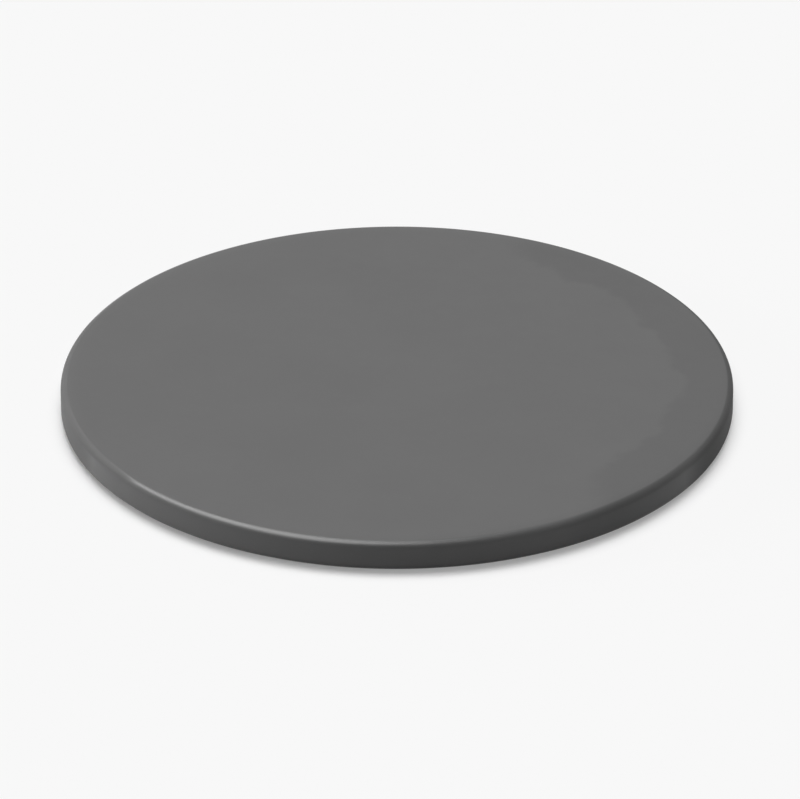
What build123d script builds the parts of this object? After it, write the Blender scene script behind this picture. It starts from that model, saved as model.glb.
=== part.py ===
from build123d import *

import os
from math import sqrt

# A round glazed pizza stone: a pressed ceramic slab on moulded foot rings, under a skin of dark glaze.
# The stone lies flat, with its feet on the plane Z = 0, its centre on the Z axis and its baking face up.
# Both pieces are round, so each one is a half section turned about the Z axis. Lengths are in millimetres.

# The finished stone, measured over the glaze
stone_diameter = 330.0
stone_height = 16.0
top_edge_radius = 3.4
bottom_edge_radius = 3.0

# The glaze skin, which turns in under the slab and feathers out at the glaze line
glaze_thickness = 0.4
glaze_return_width = 10.0
glaze_feather_width = 1.0
arris_glaze_share = 0.5

# The foot rings, pressed in one piece with the slab and left bare
foot_height = 1.2
foot_ring_count = 3
foot_ring_width = 8.0
foot_inset_from_glaze = 10.0
inner_foot_diameter = 88.0
foot_flank_angle = 45.0

# Levels and radii that follow
stone_radius = stone_diameter / 2
slab_radius = stone_radius - glaze_thickness
slab_top = stone_height - glaze_thickness
slab_underside = foot_height
glaze_underside = slab_underside - glaze_thickness
glaze_line_radius = stone_radius - glaze_return_width


def press_chamfer(edge_radius):
    """Width of the 45 degree chamfer pressed on the slab under a rolled edge of glaze.

    Molten glaze draws thin over an arris, so the chamfer leaves only a share of its thickness there.
    """
    slab_reach = edge_radius - glaze_thickness
    arris_reach = edge_radius - glaze_thickness * arris_glaze_share
    return slab_reach - sqrt(arris_reach**2 - slab_reach**2)


def slab_outline(inner_end):
    """Bare slab from the axis over the top, down the side and in underneath as far as inner_end."""
    top_chamfer = press_chamfer(top_edge_radius)
    bottom_chamfer = press_chamfer(bottom_edge_radius)
    return Polyline(
        (0, slab_top),
        (slab_radius - top_chamfer, slab_top),
        (slab_radius, slab_top - top_chamfer),
        (slab_radius, slab_underside + bottom_chamfer),
        (slab_radius - bottom_chamfer, slab_underside),
        (inner_end, slab_underside),
    )


def foot_ring_radii():
    """Mean radius of each foot ring, from the one just inside the glaze line to the inner one."""
    outer = glaze_line_radius - foot_inset_from_glaze - foot_ring_width / 2
    inner = (inner_foot_diameter + foot_ring_width) / 2
    pitch = (outer - inner) / max(foot_ring_count - 1, 1)
    return [outer - pitch * ring for ring in range(foot_ring_count)]


def body_section():
    """Half section of the slab and its foot rings, whose flanks are drafted to leave the press."""
    with BuildSketch(Plane.XZ) as section:
        with BuildLine():
            outline = slab_outline(0)
            Line(outline @ 1, outline @ 0)
        make_face()
        with Locations(*[(radius, slab_underside) for radius in foot_ring_radii()]):
            Trapezoid(
                foot_ring_width, foot_height, foot_flank_angle, rotation=180, align=(Align.CENTER, Align.MIN)
            )
    return section.sketch


def glaze_section():
    """Half section of the glaze, with its edges rolled and its inside lying on the slab."""
    with BuildSketch(Plane.XZ) as section:
        with BuildLine():
            outside = FilletPolyline(
                (0, stone_height),
                (stone_radius, stone_height),
                (stone_radius, glaze_underside),
                (glaze_line_radius + glaze_feather_width, glaze_underside),
                radius=(top_edge_radius, bottom_edge_radius),
            )
            inside = slab_outline(glaze_line_radius)
            Line(outside @ 0, inside @ 0)
            Line(outside @ 1, inside @ 1)
        make_face()
    return section.sketch


half_sections = {
    "stone_body": body_section(),
    "glaze_coat": glaze_section(),
}

os.makedirs("parts", exist_ok=True)
for node, half_section in half_sections.items():
    piece = revolve(half_section, Axis.Z)
    piece.label = node
    export_step(piece, f"parts/{node}.step")
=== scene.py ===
import logging
import math
from dataclasses import dataclass
from enum import Enum
from typing import Callable

import bmesh
import bpy
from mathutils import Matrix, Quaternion, Vector


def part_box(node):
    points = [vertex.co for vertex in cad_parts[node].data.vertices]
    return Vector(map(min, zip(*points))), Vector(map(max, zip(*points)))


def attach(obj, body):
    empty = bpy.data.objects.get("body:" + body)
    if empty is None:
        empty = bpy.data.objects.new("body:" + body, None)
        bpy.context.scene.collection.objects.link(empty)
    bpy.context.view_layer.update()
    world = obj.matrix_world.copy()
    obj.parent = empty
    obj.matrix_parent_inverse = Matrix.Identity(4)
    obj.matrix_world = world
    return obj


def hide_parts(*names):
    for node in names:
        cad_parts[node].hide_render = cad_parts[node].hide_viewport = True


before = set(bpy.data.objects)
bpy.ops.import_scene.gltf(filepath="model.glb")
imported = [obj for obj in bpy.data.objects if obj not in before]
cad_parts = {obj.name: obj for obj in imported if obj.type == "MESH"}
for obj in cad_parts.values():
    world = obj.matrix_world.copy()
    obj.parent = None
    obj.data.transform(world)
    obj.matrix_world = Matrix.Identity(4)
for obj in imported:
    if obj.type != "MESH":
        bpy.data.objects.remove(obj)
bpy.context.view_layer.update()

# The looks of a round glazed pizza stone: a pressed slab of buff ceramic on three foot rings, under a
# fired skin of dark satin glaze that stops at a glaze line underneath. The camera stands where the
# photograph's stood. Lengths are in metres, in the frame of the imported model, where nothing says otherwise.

LOG = logging.getLogger("pizza_stone")
MM = 0.001
MM_PER_METRE = 1000.0
RANGE_INPUTS = ("From Min", "From Max", "To Min", "To Max")

Socket = bpy.types.NodeSocket
Span = tuple[float, float]
Colour = tuple[float, float, float, float]


class Element(Enum):
    """The kind of mesh element that a step works on, by its name in edit mode."""

    EDGES = "EDGE"
    FACES = "FACE"


class Side(Enum):
    """The side of the stone that a step works on, as the sign of its normal along Z."""

    TOP = 1.0
    UNDERSIDE = -1.0


class Push(Enum):
    """The direction in which a relief moves a surface."""

    OUTWARD = "NORMAL"
    ALONG_X = "X"
    ALONG_Y = "Y"


class Noise(Enum):
    """The noise that a relief is made from. Two reliefs of one piece take different ones."""

    SOFT = "IMPROVED_PERLIN"
    ROUGH = "ORIGINAL_PERLIN"
    GRITTY = "BLENDER_ORIGINAL"


class Step(Enum):
    """A step of arithmetic in a node tree, by its name in the node."""

    PLUS = "ADD"
    MINUS = "SUBTRACT"
    TIMES = "MULTIPLY"
    TIMES_PLUS = "MULTIPLY_ADD"
    LARGER = "MAXIMUM"
    BELOW = "LESS_THAN"


class Measure(Enum):
    """What is worked out from a vector: the node's step, and the output that holds the result."""

    SCALED = ("MULTIPLY", "Vector")
    ALONG = ("DOT_PRODUCT", "Value")
    LENGTH = ("LENGTH", "Value")


class Fade(Enum):
    """How a value goes from one end of a range to the other."""

    SMOOTH = "SMOOTHSTEP"
    EVEN = "LINEAR"


class LampReach(Enum):
    """What a lamp's light shows in."""

    BODY = "body and shadow"
    GLOSS = "gloss"


@dataclass(frozen=True)
class StoneSizes:
    """The sizes that both pieces share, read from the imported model."""

    stone_radius: float
    stone_top: float
    glaze_underside: float
    slab_radius: float
    slab_top: float
    glaze_return: float = 10.0 * MM
    top_roll: float = 3.4 * MM
    bottom_roll: float = 3.0 * MM

    @classmethod
    def from_frame(cls) -> "StoneSizes":
        """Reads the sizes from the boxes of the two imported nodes.

        Returns:
            The sizes of the stone in the frame.
        """
        glaze_low, glaze_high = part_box("glaze_coat")
        _, slab_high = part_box("stone_body")
        return cls(glaze_high.x, glaze_high.z, glaze_low.z, slab_high.x, slab_high.z)

    @property
    def glaze_thickness(self) -> float:
        """Thickness of the glaze skin."""
        return self.stone_radius - self.slab_radius

    @property
    def slab_underside(self) -> float:
        """Height of the slab's flat underside, which the foot rings stand out from."""
        return self.glaze_underside + self.glaze_thickness

    @property
    def glaze_line(self) -> float:
        """Radius at which the glaze stops underneath."""
        return self.stone_radius - self.glaze_return


def radii_between(outer: float, inner: float, pitch: float) -> list[float]:
    """Evenly spaced radii on the way in from one radius to a smaller one.

    Args:
        outer: The radius to start from, which isn't in the result.
        inner: The radius to end on, which is.
        pitch: The widest step allowed.

    Returns:
        The radii, from the outside in.
    """
    count = max(1, math.ceil((outer - inner) / pitch))
    return [outer + (inner - outer) * step / count for step in range(1, count + 1)]


class Workpiece:
    """A round blank that is shaped in edit mode, step by step."""

    place_tolerance: float = 0.02 * MM
    weld_distance: float = 0.001 * MM
    flatness: float = 0.99
    sharpest_smooth_corner: float = math.radians(40)

    def __init__(self, name: str, radius: float, low: float, high: float, segments: int) -> None:
        """Adds the blank as a cylinder on the Z axis and goes into edit mode.

        Args:
            name: The name of the finished piece.
            radius: The blank's radius.
            low: The height of its underside.
            high: The height of its top.
            segments: How many sides its circles have.
        """
        if bpy.context.view_layer.objects.active:
            bpy.ops.object.select_all(action="DESELECT")
        bpy.ops.mesh.primitive_cylinder_add(
            vertices=segments, radius=radius, depth=high - low, location=(0, 0, (high + low) / 2)
        )
        bpy.ops.object.transform_apply(location=True, rotation=True, scale=True)
        self.piece = bpy.context.object
        self.piece.name = name
        self.piece.data.name = name
        self.edit()

    def edit(self) -> None:
        """Goes into edit mode with nothing selected."""
        bpy.ops.object.mode_set(mode="EDIT")
        bpy.ops.mesh.select_all(action="DESELECT")

    def select(self, element: Element, wanted: Callable[[object], bool]) -> None:
        """Selects the elements that pass a test, and no others.

        Args:
            element: Whether the test is for edges or faces.
            wanted: The test, given one edge or face.
        """
        bpy.ops.mesh.select_mode(type=element.value)
        bpy.ops.mesh.select_all(action="DESELECT")
        shape = bmesh.from_edit_mesh(self.piece.data)
        for item in getattr(shape, element.name.lower()):
            if wanted(item):
                item.select_set(True)
        bmesh.update_edit_mesh(self.piece.data)

    def near(self, vertex: bmesh.types.BMVert, radius: float, height: float) -> bool:
        """Tells whether a vertex lies on the circle of that radius at that height."""
        away = vertex.co.xy.length - radius
        return math.hypot(away, vertex.co.z - height) < self.place_tolerance

    def select_circle(self, radius: float, height: float) -> None:
        """Selects the edges of the circle of that radius at that height."""
        self.select(Element.EDGES, lambda edge: all(self.near(v, radius, height) for v in edge.verts))

    def select_band(self, outer: float, inner: float, side: Side) -> None:
        """Selects the flat faces of one side between two radii.

        Args:
            outer: The band's outer radius.
            inner: Its inner radius, or zero for all faces inside the outer one.
            side: The side that the faces look out of.
        """

        def inside(face: bmesh.types.BMFace) -> bool:
            """Tells whether a face lies in the band and looks straight out of the side."""
            away, level = face.calc_center_median().xy.length, face.normal.z * side.value
            return inner - self.place_tolerance <= away < outer and level > self.flatness

        self.select(Element.FACES, inside)

    def roll_edge(self, radius: float, height: float, width: float, steps: int) -> None:
        """Rounds the edge at one circle.

        Args:
            radius: The circle's radius.
            height: Its height.
            width: How far the rounding reaches on each side of the edge.
            steps: How many faces the rounding has across it.
        """
        self.select_circle(radius, height)
        bpy.ops.mesh.bevel(offset_type="OFFSET", offset=width, segments=steps, affect="EDGES", profile=0.5)

    def slice_wall(self, heights: list[float]) -> None:
        """Cuts the wall at some heights, so that a relief has points to move.

        Args:
            heights: The heights of the cuts.
        """
        for height in heights:
            bpy.ops.mesh.select_all(action="SELECT")
            bpy.ops.mesh.bisect(plane_co=(0, 0, height), plane_no=(0, 0, 1))

    def ring_face(self, side: Side, start: float, radii: list[float]) -> None:
        """Divides a flat face into rings by insets on the way in.

        Args:
            side: The side that the face looks out of.
            start: The face's own radius.
            radii: The radii of the new circles, from the outside in.
        """
        self.select_band(start, 0, side)
        for radius in radii:
            bpy.ops.mesh.inset(thickness=start - radius)
            start = radius

    def close_centre(self, side: Side, radius: float) -> None:
        """Divides the last flat face of a side, inside a radius, into a fan about its centre."""
        self.select_band(radius, 0, side)
        bpy.ops.mesh.poke()

    def raise_foot(self, outer: float, inner: float, height: float, draft: float) -> None:
        """Draws a ring of the underside down by a height into a foot, whose flanks lean in by the draft."""
        self.select_band(outer, inner, Side.UNDERSIDE)
        bpy.ops.mesh.inset(thickness=draft, depth=height)

    def open_face(self, radius: float, side: Side) -> None:
        """Deletes the flat face of a side inside a radius, which leaves a round opening."""
        self.select_band(radius, 0, side)
        bpy.ops.mesh.delete(type="FACE")

    def finish_editing(self) -> None:
        """Goes back to object mode with all faces pointing outwards."""
        bpy.ops.mesh.select_all(action="SELECT")
        bpy.ops.mesh.remove_doubles(threshold=self.weld_distance)
        bpy.ops.mesh.normals_make_consistent(inside=False)
        bpy.ops.object.mode_set(mode="OBJECT")

    def weigh(self, name: str, weight_at: Callable[[Vector], float]) -> None:
        """Makes a vertex group whose weights follow from each point's place.

        Args:
            name: The group's name.
            weight_at: Gives the weight, from 0 to 1, at a point.
        """
        group = self.piece.vertex_groups.new(name=name)
        for vertex in self.piece.data.vertices:
            weight = weight_at(vertex.co)
            if weight > 0:
                group.add([vertex.index], weight, "REPLACE")

    def relieve(self, name: str, push: Push, noise: Noise, length: float, height: float, group: str) -> None:
        """Moves the surface by a soft noise and applies the result.

        Args:
            name: The name of the relief.
            push: The direction of the movement.
            noise: The kind of noise.
            length: The size of the noise's features.
            height: The whole range of the movement, half of it each way.
            group: The vertex group that the relief is held to.
        """
        texture = bpy.data.textures.new(name, "CLOUDS")
        texture.noise_basis = noise.value
        texture.noise_scale = length
        modifier = self.piece.modifiers.new(name, "DISPLACE")
        modifier.texture = texture
        modifier.texture_coords = "LOCAL"
        modifier.direction = push.value
        modifier.strength = height
        modifier.vertex_group = group
        bpy.ops.object.modifier_apply(modifier=name)

    def thicken(self, thickness: float) -> None:
        """Gives the open skin its thickness, inwards, and applies the result.

        Args:
            thickness: The skin's thickness.
        """
        modifier = self.piece.modifiers.new("skin", "SOLIDIFY")
        modifier.thickness = thickness
        modifier.offset = -1
        modifier.use_even_offset = True
        bpy.ops.object.modifier_apply(modifier="skin")

    def smooth(self) -> None:
        """Shades the piece smooth, apart from its sharp corners."""
        bpy.ops.object.shade_smooth_by_angle(angle=self.sharpest_smooth_corner)


@dataclass(frozen=True)
class Specks:
    """Round specks on a share of some scattered grains, with size and spread in millimetres.

    A speck is even out to its core, which is a share of its radius, and fades beyond.
    """

    size: float
    spread: float
    share: float
    core: float = 0.6


class Wiring:
    """A node tree, with a short method for each kind of node that more than one tree uses."""

    def __init__(self, tree: bpy.types.NodeTree) -> None:
        """Takes over the nodes and links of a tree."""
        self.nodes = tree.nodes
        self.links = tree.links

    def feed(self, socket: Socket, value: object) -> None:
        """Sets an input from a number or links it to an output.

        Args:
            socket: The input.
            value: A number, or the output to link.
        """
        if isinstance(value, Socket):
            self.links.new(value, socket)
        else:
            socket.default_value = value

    def math(self, step: Step, *values: object) -> Socket:
        """One step of arithmetic.

        Args:
            step: The step.
            values: Its numbers or outputs, in their order.

        Returns:
            The result.
        """
        node = self.nodes.new("ShaderNodeMath")
        node.operation = step.value
        for socket, value in zip(node.inputs, values):
            self.feed(socket, value)
        return node.outputs["Value"]

    def ramp(
        self, value: Socket, low: float, high: float, start: object, end: object, fade: Fade = Fade.SMOOTH
    ) -> Socket:
        """Carries a value from one range to another and holds it there.

        Args:
            value: The output to carry over.
            low: Where the change begins.
            high: Where it ends.
            start: The result at or below low, as a number or an output.
            end: The result at or above high, as a number or an output.
            fade: How the result goes from one to the other.

        Returns:
            The result.
        """
        node = self.nodes.new("ShaderNodeMapRange")
        node.interpolation_type = fade.value
        for name, setting in zip(RANGE_INPUTS, (low, high, start, end)):
            self.feed(node.inputs[name], setting)
        self.links.new(value, node.inputs["Value"])
        return node.outputs["Result"]

    def measure(
        self, measure: Measure, vector: Socket, by: tuple[float, float, float] = (0.0, 0.0, 0.0)
    ) -> Socket:
        """Works something out from a vector.

        Args:
            measure: What to work out.
            vector: The vector's output.
            by: The factors to scale it by, or the direction to measure along.

        Returns:
            The result.
        """
        node = self.nodes.new("ShaderNodeVectorMath")
        node.operation, result = measure.value
        self.links.new(vector, node.inputs[0])
        node.inputs[1].default_value = by
        return node.outputs[result]

    def part(self, vector: Socket, axis: str) -> Socket:
        """Takes the X, Y or Z part out of a vector."""
        split = self.nodes.new("ShaderNodeSeparateXYZ")
        self.links.new(vector, split.inputs["Vector"])
        return split.outputs[axis]

    def pale_to_the_eye(self) -> Socket:
        """Tells the rays that show the background from those that light the stone.

        Returns:
            1 for rays from the camera, off gloss or through glass, and 0 for others.
        """
        rays = self.nodes.new("ShaderNodeLightPath").outputs
        mirrored = self.math(Step.LARGER, rays["Is Glossy Ray"], rays["Is Transmission Ray"])
        return self.math(Step.LARGER, rays["Is Camera Ray"], mirrored)


class Recipe(Wiring):
    """The node tree of one piece's material, in millimetres on the piece itself."""

    def __init__(self, name: str) -> None:
        """Starts a material with one shader and the piece's own coordinates.

        Args:
            name: The material's name.
        """
        self.material = bpy.data.materials.new(name)
        self.material.use_nodes = True
        super().__init__(self.material.node_tree)
        self.shader = self.nodes["Principled BSDF"]
        place = self.nodes.new("ShaderNodeTexCoord").outputs["Object"]
        scaler = self.nodes.new("ShaderNodeMapping")
        scaler.inputs["Scale"].default_value = (MM_PER_METRE,) * 3
        self.links.new(place, scaler.inputs["Vector"])
        self.place = scaler.outputs["Vector"]

    def noise(self, size: float, detail: float, shift: float = 0.0) -> Socket:
        """Soft noise on the piece.

        Args:
            size: The size of its features in millimetres.
            detail: How many finer layers it has.
            shift: Moves the noise, so that two of one size differ.

        Returns:
            The noise, from 0 to 1 about a middle of one half.
        """
        node = self.nodes.new("ShaderNodeTexNoise")
        node.noise_dimensions = "4D"
        node.inputs["W"].default_value = shift
        node.inputs["Scale"].default_value = 1 / size
        node.inputs["Detail"].default_value = detail
        self.links.new(self.place, node.inputs["Vector"])
        return node.outputs["Fac"]

    def cells(self, size: float) -> tuple[Socket, Socket]:
        """Scattered grains on the piece.

        Args:
            size: The distance between grains in millimetres.

        Returns:
            How far a point is from its grain, in grain distances, and a number from 0 to 1 for each grain.
        """
        node = self.nodes.new("ShaderNodeTexVoronoi")
        node.inputs["Scale"].default_value = 1 / size
        self.links.new(self.place, node.inputs["Vector"])
        split = self.nodes.new("ShaderNodeSeparateColor")
        self.links.new(node.outputs["Color"], split.inputs["Color"])
        return node.outputs["Distance"], split.outputs["Red"]

    def specks(self, specks: Specks) -> Socket:
        """Marks the specks on the piece.

        Args:
            specks: The specks.

        Returns:
            A mask that is 1 on a speck and 0 off it.
        """
        away, chance = self.cells(specks.spread)
        reach = specks.size / 2 / specks.spread
        spot = self.ramp(away, reach * specks.core, reach, 1.0, 0.0)
        return self.math(Step.TIMES, spot, self.math(Step.BELOW, chance, specks.share))

    def blend(self, mask: object, below: object, above: object) -> Socket:
        """Mixes two colours by a mask.

        Args:
            mask: The share of the second colour.
            below: The first colour.
            above: The second colour.

        Returns:
            The mixed colour.
        """
        node = self.nodes.new("ShaderNodeMix")
        node.data_type = "RGBA"
        self.feed(node.inputs["Factor"], mask)
        self.feed(node.inputs["A"], below)
        self.feed(node.inputs["B"], above)
        return node.outputs["Result"]

    def axis_values(self) -> tuple[Socket, Socket]:
        """How far a point is from the Z axis, and how high, in millimetres."""
        level = self.measure(Measure.SCALED, self.place, by=(1.0, 1.0, 0.0))
        return self.measure(Measure.LENGTH, level), self.part(self.place, "Z")

    def along(self, azimuth: float) -> Socket:
        """How far from the middle a point lies towards an azimuth, in millimetres."""
        turn = math.radians(azimuth)
        return self.measure(Measure.ALONG, self.place, by=(math.sin(turn), -math.cos(turn), 0.0))

    def bump(self, layers: list[tuple[Socket, float]]) -> None:
        """Adds fine relief to the shader, one layer on another.

        Args:
            layers: Each layer's heights, from 0 to 1, and what a height of 1 is in metres.
        """
        normal = None
        for heights, depth in layers:
            node = self.nodes.new("ShaderNodeBump")
            node.inputs["Distance"].default_value = depth
            self.links.new(heights, node.inputs["Height"])
            if normal:
                self.links.new(normal, node.inputs["Normal"])
            normal = node.outputs["Normal"]
        self.links.new(normal, self.shader.inputs["Normal"])


@dataclass(frozen=True)
class GlazeZones:
    """Where on the stone a point of the glaze is: masks from 0 to 1, and a distance in millimetres."""

    border: Socket
    roll: Socket
    side: Socket
    rim: Socket
    across: Socket


@dataclass(frozen=True)
class DarkGlaze:
    """A neutral dark satin glaze: even in tone, with faint specks and a fine orange peel.

    Painted shade darkens a wandering border along the right-hand edge, and more so the right of the rolled
    edge and the side; the glaze is also more matt at both ends of the rim. Ranges called shade, rim_shade or
    matt are of the distance across the stone towards right_azimuth, which is to the right. Heights are in
    metres, other lengths in millimetres.
    """

    name: str = "dark_satin_glaze"
    grey: float = 0.085
    noise_band: Span = (0.3, 0.7)
    cloud_size: float = 45.0
    cloud_depth: float = 0.025
    pale_specks: Specks = Specks(0.9, spread=3.1, share=0.35)
    pale_gain: float = 0.1
    dark_specks: Specks = Specks(0.6, spread=2.3, share=0.3)
    dark_loss: float = 0.14
    gloss_level: float = 0.35
    roughness: float = 0.38
    roughness_play: float = 0.025
    play_size: float = 15.0
    right_azimuth: float = 98.0
    # Painted shade towards the right-hand edge: where its wandering border lies, and how far across and how
    # dark it is.
    shade_edge: Span = (132.0, 144.0)
    shade_wander: float = 40.0
    wander_size: float = 22.5
    shade_reach: Span = (65.0, 95.0)
    shade: float = 0.85
    # Painted shade on the right of the rolled edge and the side, darker than the border's.
    rim_shade_reach: Span = (45.0, 85.0)
    rim_shade: float = 0.77
    roll_lead: float = 1.0
    matt_right: Span = (100.0, 150.0)
    matt_left: Span = (-166.0, -146.0)
    matt_left_roll: Span = (-147.0, -129.0)
    matt_roughness: float = 0.78
    peel_size: float = 2.6
    peel_height: float = 0.010 * MM
    grain_size: float = 0.45
    grain_height: float = 0.0025 * MM

    def material(self, sizes: StoneSizes) -> bpy.types.Material:
        """Makes the glaze's material.

        Args:
            sizes: The stone's sizes, which place its rolled edge and its side.

        Returns:
            The material.
        """
        recipe = Recipe(self.name)
        zones = self.zones(recipe, sizes)
        recipe.feed(recipe.shader.inputs["Base Color"], self.tone(recipe, zones))
        recipe.feed(recipe.shader.inputs["Roughness"], self.dullness(recipe, zones))
        recipe.shader.inputs["Specular IOR Level"].default_value = self.gloss_level
        recipe.bump([
            (recipe.noise(self.peel_size, detail=1.0), self.peel_height),
            (recipe.noise(self.grain_size, detail=2.0, shift=9.0), self.grain_height),
        ])
        return recipe.material

    def zones(self, recipe: Recipe, sizes: StoneSizes) -> GlazeZones:
        """Marks the border zone near the edge that takes painted shade, the rolled top edge and the side.

        Args:
            recipe: The material's nodes.
            sizes: The stone's sizes.

        Returns:
            The zones. The border wanders, and the roll and the side fade into each other.
        """
        away, height = recipe.axis_values()
        wave = recipe.noise(self.wander_size, detail=3.0, shift=2.0)
        wander = recipe.math(Step.TIMES_PLUS, wave, self.shade_wander, -self.shade_wander / 2)
        border = recipe.ramp(recipe.math(Step.PLUS, away, wander), *self.shade_edge, 0.0, 1.0)

        radius, top, roll = sizes.stone_radius / MM, sizes.stone_top / MM, sizes.top_roll / MM
        side = recipe.ramp(height, top - roll, top - roll / 3, 1.0, 0.0)
        outer = recipe.ramp(away, radius - roll - self.roll_lead, radius - roll / 2, 0.0, 1.0)
        rolled = recipe.math(Step.TIMES, outer, recipe.math(Step.MINUS, 1.0, side))
        rim = recipe.math(Step.PLUS, rolled, side)
        return GlazeZones(border, rolled, side, rim, recipe.along(self.right_azimuth))

    def tone(self, recipe: Recipe, zones: GlazeZones) -> Socket:
        """Works out the glaze's grey, with its clouds and its specks, darkened by painted shade towards the
        right-hand edge.

        Args:
            recipe: The material's nodes.
            zones: Where on the stone a point is.

        Returns:
            The grey.
        """
        clouds = recipe.noise(self.cloud_size, detail=3.0)
        darkest, palest = self.grey * (1 - self.cloud_depth), self.grey * (1 + self.cloud_depth)
        tone = recipe.ramp(clouds, *self.noise_band, darkest, palest)
        lift = recipe.math(Step.TIMES_PLUS, recipe.specks(self.pale_specks), self.pale_gain, 1.0)
        drop = recipe.math(Step.TIMES_PLUS, recipe.specks(self.dark_specks), -self.dark_loss, 1.0)
        tone = recipe.math(Step.TIMES, tone, recipe.math(Step.TIMES, lift, drop))
        # Painted shade: the wandering border towards the right is darkened by shade, and the right of the
        # rolled edge and the side further by rim_shade.
        shaded_zones = ((zones.border, self.shade_reach, self.shade), (zones.rim, self.rim_shade_reach, self.rim_shade))
        for zone, reach, shade in shaded_zones:
            there = recipe.math(Step.TIMES, zone, recipe.ramp(zones.across, *reach, 0.0, 1.0))
            tone = recipe.math(Step.TIMES, tone, recipe.ramp(there, 0.0, 1.0, 1.0, shade))
        return tone

    def dullness(self, recipe: Recipe, zones: GlazeZones) -> Socket:
        """Works out the glaze's roughness, with the rim's matt ends.

        Args:
            recipe: The material's nodes.
            zones: Where on the stone a point is.

        Returns:
            The roughness.
        """
        play = recipe.noise(self.play_size, detail=4.0, shift=5.0)
        least, most = self.roughness - self.roughness_play, self.roughness + self.roughness_play
        rough = recipe.ramp(play, *self.noise_band, least, most)
        matt = recipe.math(Step.TIMES, zones.rim, recipe.ramp(zones.across, *self.matt_right, 0.0, 1.0))
        for zone, reach in ((zones.side, self.matt_left), (zones.roll, self.matt_left_roll)):
            there = recipe.math(Step.TIMES, zone, recipe.ramp(zones.across, *reach, 1.0, 0.0))
            matt = recipe.math(Step.PLUS, matt, there)
        return recipe.math(Step.LARGER, rough, recipe.ramp(matt, 0.0, 1.0, 0.0, self.matt_roughness))


@dataclass(frozen=True)
class BareCeramic:
    """Unglazed buff ceramic: a matt, open, sandy body with pale grains and brown iron specks.

    The soles are rubbed pale, and a mist of glaze lies along the glaze line. Sand height and pore depth are
    in metres, other lengths in millimetres.
    """

    name: str = "bare_buff_ceramic"
    light_body: Colour = (0.60, 0.50, 0.37, 1.0)
    dark_body: Colour = (0.47, 0.375, 0.265, 1.0)
    grain_colour: Colour = (0.72, 0.65, 0.53, 1.0)
    iron_colour: Colour = (0.12, 0.065, 0.035, 1.0)
    rubbed_colour: Colour = (0.66, 0.58, 0.46, 1.0)
    mist_colour: Colour = (0.16, 0.15, 0.14, 1.0)
    roughness: float = 0.9
    gloss_level: float = 0.3
    noise_band: Span = (0.35, 0.65)
    patch_size: float = 38.0
    patch_depth: float = 0.6
    sand_size: float = 1.3
    sand_depth: float = 0.4
    sand_height: float = 0.10 * MM
    grains: Specks = Specks(1.3, spread=1.9, share=0.45)
    grain_strength: float = 0.7
    iron: Specks = Specks(0.7, spread=3.4, share=0.22)
    iron_strength: float = 0.8
    pores: Specks = Specks(0.7, spread=1.6, share=0.3)
    pore_depth: float = 0.16 * MM
    sole_level: float = 0.02
    rubbed_share: float = 0.25
    scuffs_per_patch: float = 6.0
    scuff_band: Span = (0.4, 0.6)
    scuff_strength: Span = (0.25, 0.9)
    mist_width: float = 4.0
    mist_strength: float = 0.75
    droplet_size: float = 0.5
    droplet_band: Span = (0.45, 0.6)

    def material(self, sizes: StoneSizes) -> bpy.types.Material:
        """Makes the bare body's material.

        Args:
            sizes: The stone's sizes, which place the rubbed soles and the glaze mist.

        Returns:
            The material.
        """
        recipe = Recipe(self.name)
        colour = self.worn(recipe, sizes, self.body(recipe))
        recipe.feed(recipe.shader.inputs["Base Color"], colour)
        recipe.shader.inputs["Roughness"].default_value = self.roughness
        recipe.shader.inputs["Specular IOR Level"].default_value = self.gloss_level
        recipe.bump([
            (recipe.noise(self.sand_size, detail=4.0, shift=3.0), self.sand_height),
            (recipe.math(Step.MINUS, 1.0, recipe.specks(self.pores)), self.pore_depth),
        ])
        return recipe.material

    def body(self, recipe: Recipe) -> Socket:
        """Works out the colour of the fresh body, with its patches, grains and iron specks.

        Args:
            recipe: The material's nodes.

        Returns:
            The colour.
        """
        patches = recipe.noise(self.patch_size, detail=4.0)
        patches = recipe.ramp(patches, *self.noise_band, 0.0, self.patch_depth)
        sand = recipe.noise(self.sand_size, detail=3.0, shift=3.0)
        sand = recipe.ramp(sand, *self.noise_band, 0.0, self.sand_depth)
        colour = recipe.blend(recipe.math(Step.PLUS, patches, sand), self.light_body, self.dark_body)
        grains = recipe.math(Step.TIMES, recipe.specks(self.grains), self.grain_strength)
        colour = recipe.blend(grains, colour, self.grain_colour)
        iron = recipe.math(Step.TIMES, recipe.specks(self.iron), self.iron_strength)
        return recipe.blend(iron, colour, self.iron_colour)

    def worn(self, recipe: Recipe, sizes: StoneSizes, colour: Socket) -> Socket:
        """Rubs the soles and lays the mist of glaze along the glaze line.

        Args:
            recipe: The material's nodes.
            sizes: The stone's sizes.
            colour: The fresh body's colour.

        Returns:
            The colour with both.
        """
        away, height = recipe.axis_values()
        rubbed = sizes.slab_underside / MM * self.rubbed_share
        sole = recipe.ramp(height, self.sole_level, rubbed, 1.0, 0.0)
        scuffs = recipe.noise(self.patch_size / self.scuffs_per_patch, detail=5.0, shift=7.0)
        scuffs = recipe.ramp(scuffs, *self.scuff_band, *self.scuff_strength)
        colour = recipe.blend(recipe.math(Step.TIMES, sole, scuffs), colour, self.rubbed_colour)
        line = sizes.glaze_line / MM
        mist = recipe.ramp(away, line - self.mist_width, line, 0.0, self.mist_strength)
        droplets = recipe.noise(self.droplet_size, detail=1.0, shift=11.0)
        droplets = recipe.ramp(droplets, *self.droplet_band, 0.0, 1.0)
        return recipe.blend(recipe.math(Step.TIMES, mist, droplets), colour, self.mist_colour)


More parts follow.
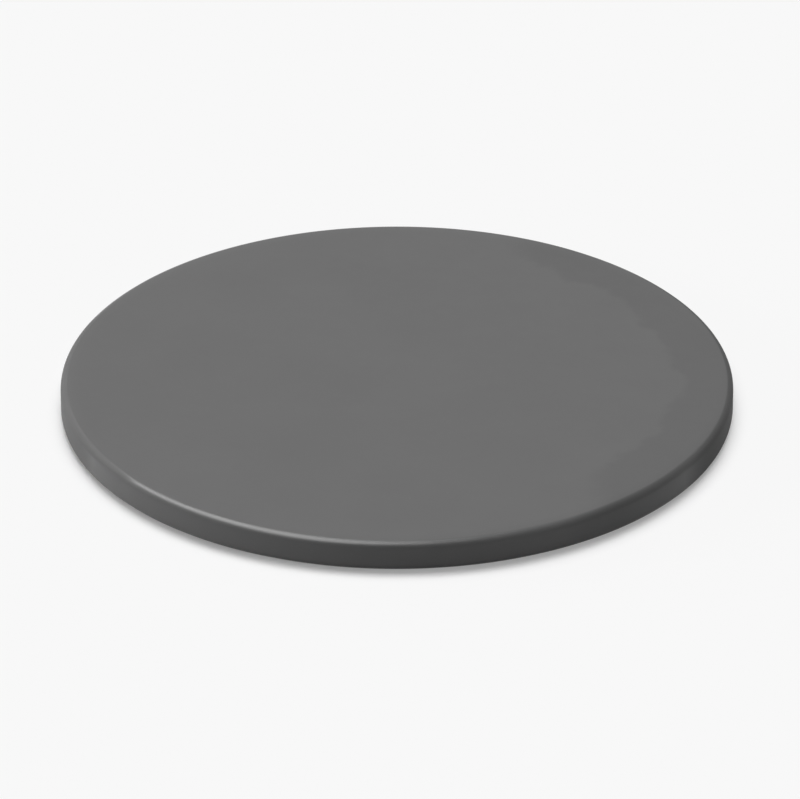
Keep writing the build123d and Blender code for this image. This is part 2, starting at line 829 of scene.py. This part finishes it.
@dataclass
class GlazeCoat:
    """The fired skin of glaze over the top, the rolled edges, the side and the return underneath."""

    sizes: StoneSizes
    finish: DarkGlaze
    name: str = "fired_glaze"
    segments: int = 360
    edge_steps: int = 10
    ring_pitch: float = 5.0 * MM
    return_pitch: float = 0.8 * MM
    wall_cuts: int = 5
    bead_width: float = 0.3 * MM
    bead_steps: int = 3
    wave_length: float = 42.0 * MM
    wave_height: float = 0.09 * MM
    ripple_length: float = 11.0 * MM
    ripple_height: float = 0.02 * MM
    line_wander: float = 1.8 * MM
    line_wave: float = 14.0 * MM

    def build(self) -> bpy.types.Object:
        """Shapes the skin and dresses it.

        Returns:
            The finished piece.
        """
        piece = self.shape()
        piece.data.materials.clear()
        piece.data.materials.append(self.finish.material(self.sizes))
        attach(piece, "root")
        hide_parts("glaze_coat")
        return piece

    def shape(self) -> bpy.types.Object:
        """Rolls, rings, opens and thickens a round blank, then gives it the unevenness of fired glaze.

        Returns:
            The bare mesh object.
        """
        s = self.sizes
        work = Workpiece(self.name, s.stone_radius, s.glaze_underside, s.stone_top, self.segments)
        work.roll_edge(s.stone_radius, s.stone_top, s.top_roll, self.edge_steps)
        work.roll_edge(s.stone_radius, s.glaze_underside, s.bottom_roll, self.edge_steps)
        wall_low, wall_high = s.glaze_underside + s.bottom_roll, s.stone_top - s.top_roll
        wall_pitch = (wall_high - wall_low) / (self.wall_cuts + 1)
        work.slice_wall([wall_low + wall_pitch * cut for cut in range(1, self.wall_cuts + 1)])

        face = s.stone_radius - s.top_roll
        work.ring_face(Side.TOP, face, radii_between(face, self.ring_pitch, self.ring_pitch))
        work.close_centre(Side.TOP, self.ring_pitch)
        face = s.stone_radius - s.bottom_roll
        work.ring_face(Side.UNDERSIDE, face, radii_between(face, s.glaze_line, self.return_pitch))
        work.open_face(s.glaze_line, Side.UNDERSIDE)
        work.finish_editing()
        work.thicken(s.glaze_thickness)

        work.edit()
        work.roll_edge(s.glaze_line, s.glaze_underside, self.bead_width, self.bead_steps)
        work.finish_editing()
        self.roughen(work)
        work.smooth()
        return work.piece

    def roughen(self, work: Workpiece) -> None:
        """Gives the skin's outside waves and ripples, and lets the glaze line wander.

        Args:
            work: The skin.
        """
        work.weigh("outside", self.outside_weight)
        work.weigh("glaze_line", self.line_weight)
        reliefs = (
            ("waves", Push.OUTWARD, Noise.SOFT, self.wave_length, self.wave_height, "outside"),
            ("ripples", Push.OUTWARD, Noise.ROUGH, self.ripple_length, self.ripple_height, "outside"),
            ("wander_x", Push.ALONG_X, Noise.SOFT, self.line_wave, self.line_wander, "glaze_line"),
            ("wander_y", Push.ALONG_Y, Noise.ROUGH, self.line_wave, self.line_wander, "glaze_line"),
        )
        for relief in reliefs:
            work.relieve(*relief)

    def outside_weight(self, place: Vector) -> float:
        """Gives 1 on the outside of the skin and 0 on its inside, which lies on the slab.

        Args:
            place: The point.

        Returns:
            The weight.
        """
        s = self.sizes
        skin = s.glaze_thickness / 2
        outside = (
            place.xy.length > s.slab_radius + skin
            or place.z > s.slab_top + skin
            or place.z < s.slab_underside - skin
        )
        return 1.0 if outside else self.rolled_weight(place)

    def rolled_weight(self, place: Vector) -> float:
        """Gives 1 on the outside of a rolled edge and 0 on its inside.

        Args:
            place: The point.

        Returns:
            The weight.
        """
        s = self.sizes
        rolls = (
            (s.top_roll, place.z - (s.stone_top - s.top_roll)),
            (s.bottom_roll, s.glaze_underside + s.bottom_roll - place.z),
        )
        for roll, beyond in rolls:
            across = place.xy.length - (s.stone_radius - roll)
            if across > 0 and beyond > 0:
                return 1.0 if math.hypot(across, beyond) > roll - s.glaze_thickness / 2 else 0.0
        return 0.0

    def line_weight(self, place: Vector) -> float:
        """Gives 1 at the glaze line, falling to 0 halfway out along the return.

        Args:
            place: The point.

        Returns:
            The weight.
        """
        s = self.sizes
        if place.z > s.slab_underside + s.glaze_thickness:
            return 0.0
        share = (place.xy.length - s.glaze_line) / (s.glaze_return / 2)
        return max(0.0, 1.0 - share)


@dataclass
class StoneBody:
    """The pressed slab with its three foot rings, which shows only underneath, inside the glaze line."""

    sizes: StoneSizes
    finish: BareCeramic
    name: str = "pressed_slab"
    segments: int = 360
    edge_steps: int = 4
    ring_pitch: float = 3.0 * MM
    top_pitch: float = 40.0 * MM
    foot_count: int = 3
    foot_width: float = 8.0 * MM
    foot_inset: float = 10.0 * MM
    inner_foot_bore: float = 44.0 * MM
    foot_steps: int = 4
    corner_width: float = 0.3 * MM
    corner_steps: int = 3
    swell_length: float = 30.0 * MM
    swell_height: float = 0.12 * MM
    sand_length: float = 4.0 * MM
    sand_height: float = 0.10 * MM
    sole_weight: float = 0.15
    slab_margin: float = 1.0 * MM

    def build(self) -> bpy.types.Object:
        """Shapes the slab and dresses it.

        Returns:
            The finished piece.
        """
        piece = self.shape()
        piece.data.materials.clear()
        piece.data.materials.append(self.finish.material(self.sizes))
        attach(piece, "root")
        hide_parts("stone_body")
        return piece

    def foot_radii(self) -> list[tuple[float, float]]:
        """Places the foot rings.

        Returns:
            Outer and inner radius of each ring at its root, from the outer ring inwards.
        """
        outer = self.sizes.glaze_line - self.foot_inset
        inner = self.inner_foot_bore + self.foot_width
        pitch = (outer - inner) / (self.foot_count - 1)
        starts = [outer - pitch * ring for ring in range(self.foot_count)]
        return [(start, start - self.foot_width) for start in starts]

    def underside_radii(self, face: float) -> list[float]:
        """Places the circles that divide the underside, closer together on the feet.

        Args:
            face: The radius of the whole flat face.

        Returns:
            The radii, from the outside in.
        """
        radii, last = [], face
        for outer, inner in self.foot_radii():
            radii += radii_between(last, outer, self.ring_pitch)
            radii += radii_between(outer, inner, self.foot_width / self.foot_steps)
            last = inner
        return radii + radii_between(last, self.ring_pitch, self.ring_pitch)

    def shape(self) -> bpy.types.Object:
        """Rounds a blank, rings its underside, draws the feet down and gives it a sandy unevenness.

        Returns:
            The bare mesh object.
        """
        s = self.sizes
        top_edge, bottom_edge = s.top_roll - s.glaze_thickness, s.bottom_roll - s.glaze_thickness
        work = Workpiece(self.name, s.slab_radius, s.slab_underside, s.slab_top, self.segments)
        work.roll_edge(s.slab_radius, s.slab_top, top_edge, self.edge_steps)
        work.roll_edge(s.slab_radius, s.slab_underside, bottom_edge, self.edge_steps)
        face = s.slab_radius - top_edge
        work.ring_face(Side.TOP, face, radii_between(face, self.top_pitch, self.top_pitch))
        work.close_centre(Side.TOP, self.top_pitch)
        face = s.slab_radius - bottom_edge
        work.ring_face(Side.UNDERSIDE, face, self.underside_radii(face))
        work.close_centre(Side.UNDERSIDE, self.ring_pitch)
        self.press_feet(work)
        work.finish_editing()

        work.weigh("underneath", self.underneath_weight)
        work.relieve("swell", Push.OUTWARD, Noise.SOFT, self.swell_length, self.swell_height, "underneath")
        work.relieve("sand", Push.OUTWARD, Noise.GRITTY, self.sand_length, self.sand_height, "underneath")
        work.smooth()
        return work.piece

    def press_feet(self, work: Workpiece) -> None:
        """Draws the foot rings down to the table, with flanks at 45 degrees and soft corners.

        Args:
            work: The slab, with its underside divided into rings.
        """
        height = self.sizes.slab_underside
        for outer, inner in self.foot_radii():
            work.raise_foot(outer, inner, height, height)
            for radius in (outer, inner):
                work.roll_edge(radius, height, self.corner_width, self.corner_steps)
            for radius in (outer - height, inner + height):
                work.roll_edge(radius, 0, self.corner_width, self.corner_steps)

    def underneath_weight(self, place: Vector) -> float:
        """Gives 1 on the bare underside, little on the soles and 0 under the glaze.

        Args:
            place: The point.

        Returns:
            The weight.
        """
        s = self.sizes
        if place.z > s.slab_underside + self.slab_margin or place.xy.length > s.glaze_line:
            return 0.0
        return min(1.0, self.sole_weight + place.z / s.slab_underside)


@dataclass(frozen=True)
class Lamp:
    """A lamp that points at the stone from some way away, tilted about the line that it points along.

    Its azimuth is in degrees from the front, positive to the right.
    """

    name: str
    azimuth: float
    elevation: float
    strength: float
    reach: LampReach
    away: float = 1.0
    tilt: float = 0.0

    def light(self) -> bpy.types.Light:
        """Makes the light itself."""
        raise NotImplementedError

    def hang(self) -> bpy.types.Object:
        """Adds the lamp to the scene, unseen by the camera.

        Returns:
            The lamp's object.
        """
        turn, lift = math.radians(self.azimuth), math.radians(self.elevation)
        level = math.cos(lift)
        towards = Vector((math.sin(turn) * level, -math.cos(turn) * level, math.sin(lift)))
        lamp = bpy.data.objects.new(self.name, self.light())
        lamp.location = towards * self.away
        aim = towards.to_track_quat("Z", "Y") @ Quaternion((0, 0, 1), math.radians(self.tilt))
        lamp.rotation_euler = aim.to_euler()
        lamp.visible_camera = False
        lamp.visible_diffuse = self.reach is LampReach.BODY
        lamp.visible_glossy = self.reach is LampReach.GLOSS
        bpy.context.scene.collection.objects.link(lamp)
        return lamp


@dataclass(frozen=True)
class RoundLamp(Lamp):
    """A distant lamp behind a round diffuser, whose spread is the angle that it fills, in degrees.

    A strength of pi shows a white face that is turned to it at full tone.
    """

    spread: float = 32.0

    def light(self) -> bpy.types.Light:
        """Makes the light itself.

        Returns:
            The light.
        """
        light = bpy.data.lights.new(self.name, "SUN")
        light.energy = self.strength
        light.angle = math.radians(self.spread)
        return light


@dataclass(frozen=True)
class SoftBox(Lamp):
    """A long box lamp with an even front, which at a strength of 1 shows as a white face at full tone."""

    width: float = 1.0
    length: float = 2.0

    def light(self) -> bpy.types.Light:
        """Makes the light itself.

        Returns:
            The light.
        """
        light = bpy.data.lights.new(self.name, "AREA")
        light.shape = "RECTANGLE"
        light.size, light.size_y = self.length, self.width
        light.energy = self.strength * math.pi * self.width * self.length
        return light


@dataclass(frozen=True)
class Studio:
    """A pale table in soft light that is even but for the stone's shadow, with a painted glow that lightens
    the shadow.

    The table's glow and its lit tone add up to its paleness where no shadow lies. Near the stone it glows
    little, less on the left than on the right, so the shadow shows. Further out, and sooner beyond the
    stone's two ends, the glow is so strong that it paints the shadow out. To the stone it is a plain surface.
    Pairs of tones are for the left and the right.
    """

    paleness: float = 0.939
    near_glow: Span = (0.16, 0.3)
    near_glow_grows: Span = (-90 * MM, 10 * MM)
    far_glow: float = 0.88
    glow_grows: Span = (169 * MM, 178 * MM)
    glow_squeeze: float = 1.028
    table_radius: float = 8.0
    table_sides: int = 128
    table_drop: float = 0.02 * MM
    table_to_stone: Span = (0.9, 0.56)
    dimming: Span = (-200 * MM, -50 * MM)
    room_to_stone: float = 0.08
    lamps: tuple[Lamp, ...] = (
        RoundLamp("back_left", -157.0, 72.0, 1.53, LampReach.BODY, spread=32.0),
        RoundLamp("back_right", 142.0, 71.0, 1.03, LampReach.BODY, spread=34.0),
        RoundLamp("low_left", -97.0, 6.0, 3.4, LampReach.BODY, spread=32.0),
        SoftBox(
            "edge_box", -82.0, 65.0, 7.7, LampReach.GLOSS, away=2.4, tilt=12.0, width=1.94, length=3.8
        ),
    )

    def build(self) -> None:
        """Lays the table, hangs the lamps and fills the room with dim light."""
        self.lay_table()
        for lamp in self.lamps:
            lamp.hang()
        self.fill_room()

    def lay_table(self) -> None:
        """Adds the table under the stone, with its own soft material."""
        bpy.ops.object.select_all(action="DESELECT")
        bpy.ops.mesh.primitive_circle_add(
            vertices=self.table_sides,
            radius=self.table_radius,
            fill_type="NGON",
            location=(0, 0, -self.table_drop),
        )
        table = bpy.context.object
        table.name = "table"
        table.data.materials.append(self.table_material())

    def table_material(self) -> bpy.types.Material:
        """Makes the table's material: pale with a shadow to the eye, and plain to the stone.

        Returns:
            The material.
        """
        material = bpy.data.materials.new("pale_table")
        material.use_nodes = True
        wiring = Wiring(material.node_tree)
        wiring.nodes.remove(wiring.nodes["Principled BSDF"])
        place = wiring.nodes.new("ShaderNodeTexCoord").outputs["Object"]
        across = wiring.part(place, "X")
        plain = wiring.nodes.new("ShaderNodeBsdfDiffuse")
        level = wiring.ramp(across, *self.dimming, *self.table_to_stone, Fade.EVEN)
        wiring.feed(plain.inputs["Color"], level)
        mix = wiring.nodes.new("ShaderNodeMixShader")
        wiring.feed(mix.inputs["Fac"], wiring.pale_to_the_eye())
        wiring.feed(mix.inputs[1], plain.outputs["BSDF"])
        wiring.feed(mix.inputs[2], self.pale_surface(wiring, place, across))
        wiring.feed(wiring.nodes["Material Output"].inputs["Surface"], mix.outputs["Shader"])
        return material

    def pale_surface(self, wiring: Wiring, place: Socket, across: Socket) -> Socket:
        """Makes the surface that the eye sees, part lit and part glowing.

        Args:
            wiring: The table's nodes.
            place: A point's place on the table.
            across: How far to the right it is.

        Returns:
            The shader.
        """
        # Painted glow that lightens the stone's shadow: low near the stone and lower on the left, growing
        # further out until the shadow is gone.
        near = wiring.ramp(across, *self.near_glow_grows, *self.near_glow, Fade.EVEN)
        squeezed = wiring.measure(Measure.SCALED, place, by=(self.glow_squeeze, 1.0, 1.0))
        away = wiring.measure(Measure.LENGTH, squeezed)
        glowing = wiring.ramp(away, *self.glow_grows, near, self.far_glow, Fade.EVEN)
        lit = wiring.nodes.new("ShaderNodeBsdfDiffuse")
        wiring.feed(lit.inputs["Color"], wiring.math(Step.MINUS, self.paleness, glowing))
        glow = wiring.nodes.new("ShaderNodeEmission")
        wiring.feed(glow.inputs["Strength"], glowing)
        pale = wiring.nodes.new("ShaderNodeAddShader")
        wiring.feed(pale.inputs[0], lit.outputs["BSDF"])
        wiring.feed(pale.inputs[1], glow.outputs["Emission"])
        return pale.outputs["Shader"]

    def fill_room(self) -> None:
        """Makes the world pale to the eye and dim to the stone."""
        world = bpy.data.worlds.new("room")
        world.use_nodes = True
        bpy.context.scene.world = world
        wiring = Wiring(world.node_tree)
        shown = wiring.pale_to_the_eye()
        level = wiring.ramp(shown, 0.0, 1.0, self.room_to_stone, self.paleness, Fade.EVEN)
        background = wiring.nodes["Background"]
        background.inputs["Color"].default_value = (1.0, 1.0, 1.0, 1.0)
        wiring.feed(background.inputs["Strength"], level)


@dataclass(frozen=True)
class PhotographCamera:
    """The camera of the photograph, a long way off, looking down at the stone from the front."""

    frame_px: tuple[float, float] = (800.0, 799.0)
    stone_centre_px: tuple[float, float] = (396.95, 391.55)
    stone_radius_px: float = 336.0
    elevation: float = 28.44
    distance_in_radii: float = 24.0
    sensor_width_mm: float = 36.0
    clip_ratio: float = 100.0

    def build(self, sizes: StoneSizes) -> bpy.types.Object:
        """Adds the camera and makes it the scene's own.

        Args:
            sizes: The stone's sizes, which give the scale of the photograph.

        Returns:
            The camera's object.
        """
        lift = math.radians(self.elevation)
        back = Vector((0, -math.cos(lift), math.sin(lift)))
        up = Vector((0, math.sin(lift), math.cos(lift)))
        across = Vector((1, 0, 0))
        per_px = sizes.stone_radius / self.stone_radius_px
        right_px = self.frame_px[0] / 2 - self.stone_centre_px[0]
        down_px = self.frame_px[1] / 2 - self.stone_centre_px[1]
        middle = Vector((0, 0, (sizes.stone_top + sizes.glaze_underside) / 2))
        target = middle + across * right_px * per_px - up * down_px * per_px

        data = bpy.data.cameras.new("photograph_camera")
        data.sensor_width = self.sensor_width_mm
        sensor_per_px = self.sensor_width_mm / self.frame_px[0]
        data.lens = self.distance_in_radii * self.stone_radius_px * sensor_per_px
        camera = bpy.data.objects.new("photograph_camera", data)
        distance = sizes.stone_radius * self.distance_in_radii
        camera.location = target + back * distance
        camera.rotation_euler = back.to_track_quat("Z", "Y").to_euler()
        data.clip_start, data.clip_end = distance / self.clip_ratio, distance * self.clip_ratio
        bpy.context.scene.collection.objects.link(camera)
        bpy.context.scene.camera = camera
        return camera


def main() -> None:
    """Builds the stone, the studio and the camera."""
    logging.basicConfig(level=logging.INFO, format="%(name)s: %(message)s")
    bpy.context.scene.view_settings.view_transform = "Standard"
    sizes = StoneSizes.from_frame()
    for part in (StoneBody(sizes, BareCeramic()), GlazeCoat(sizes, DarkGlaze())):
        piece = part.build()
        LOG.info("%s: %d faces, finished as %s", piece.name, len(piece.data.polygons), part.finish.name)
    Studio().build()
    PhotographCamera().build(sizes)


if __name__ == "__main__":
    main()
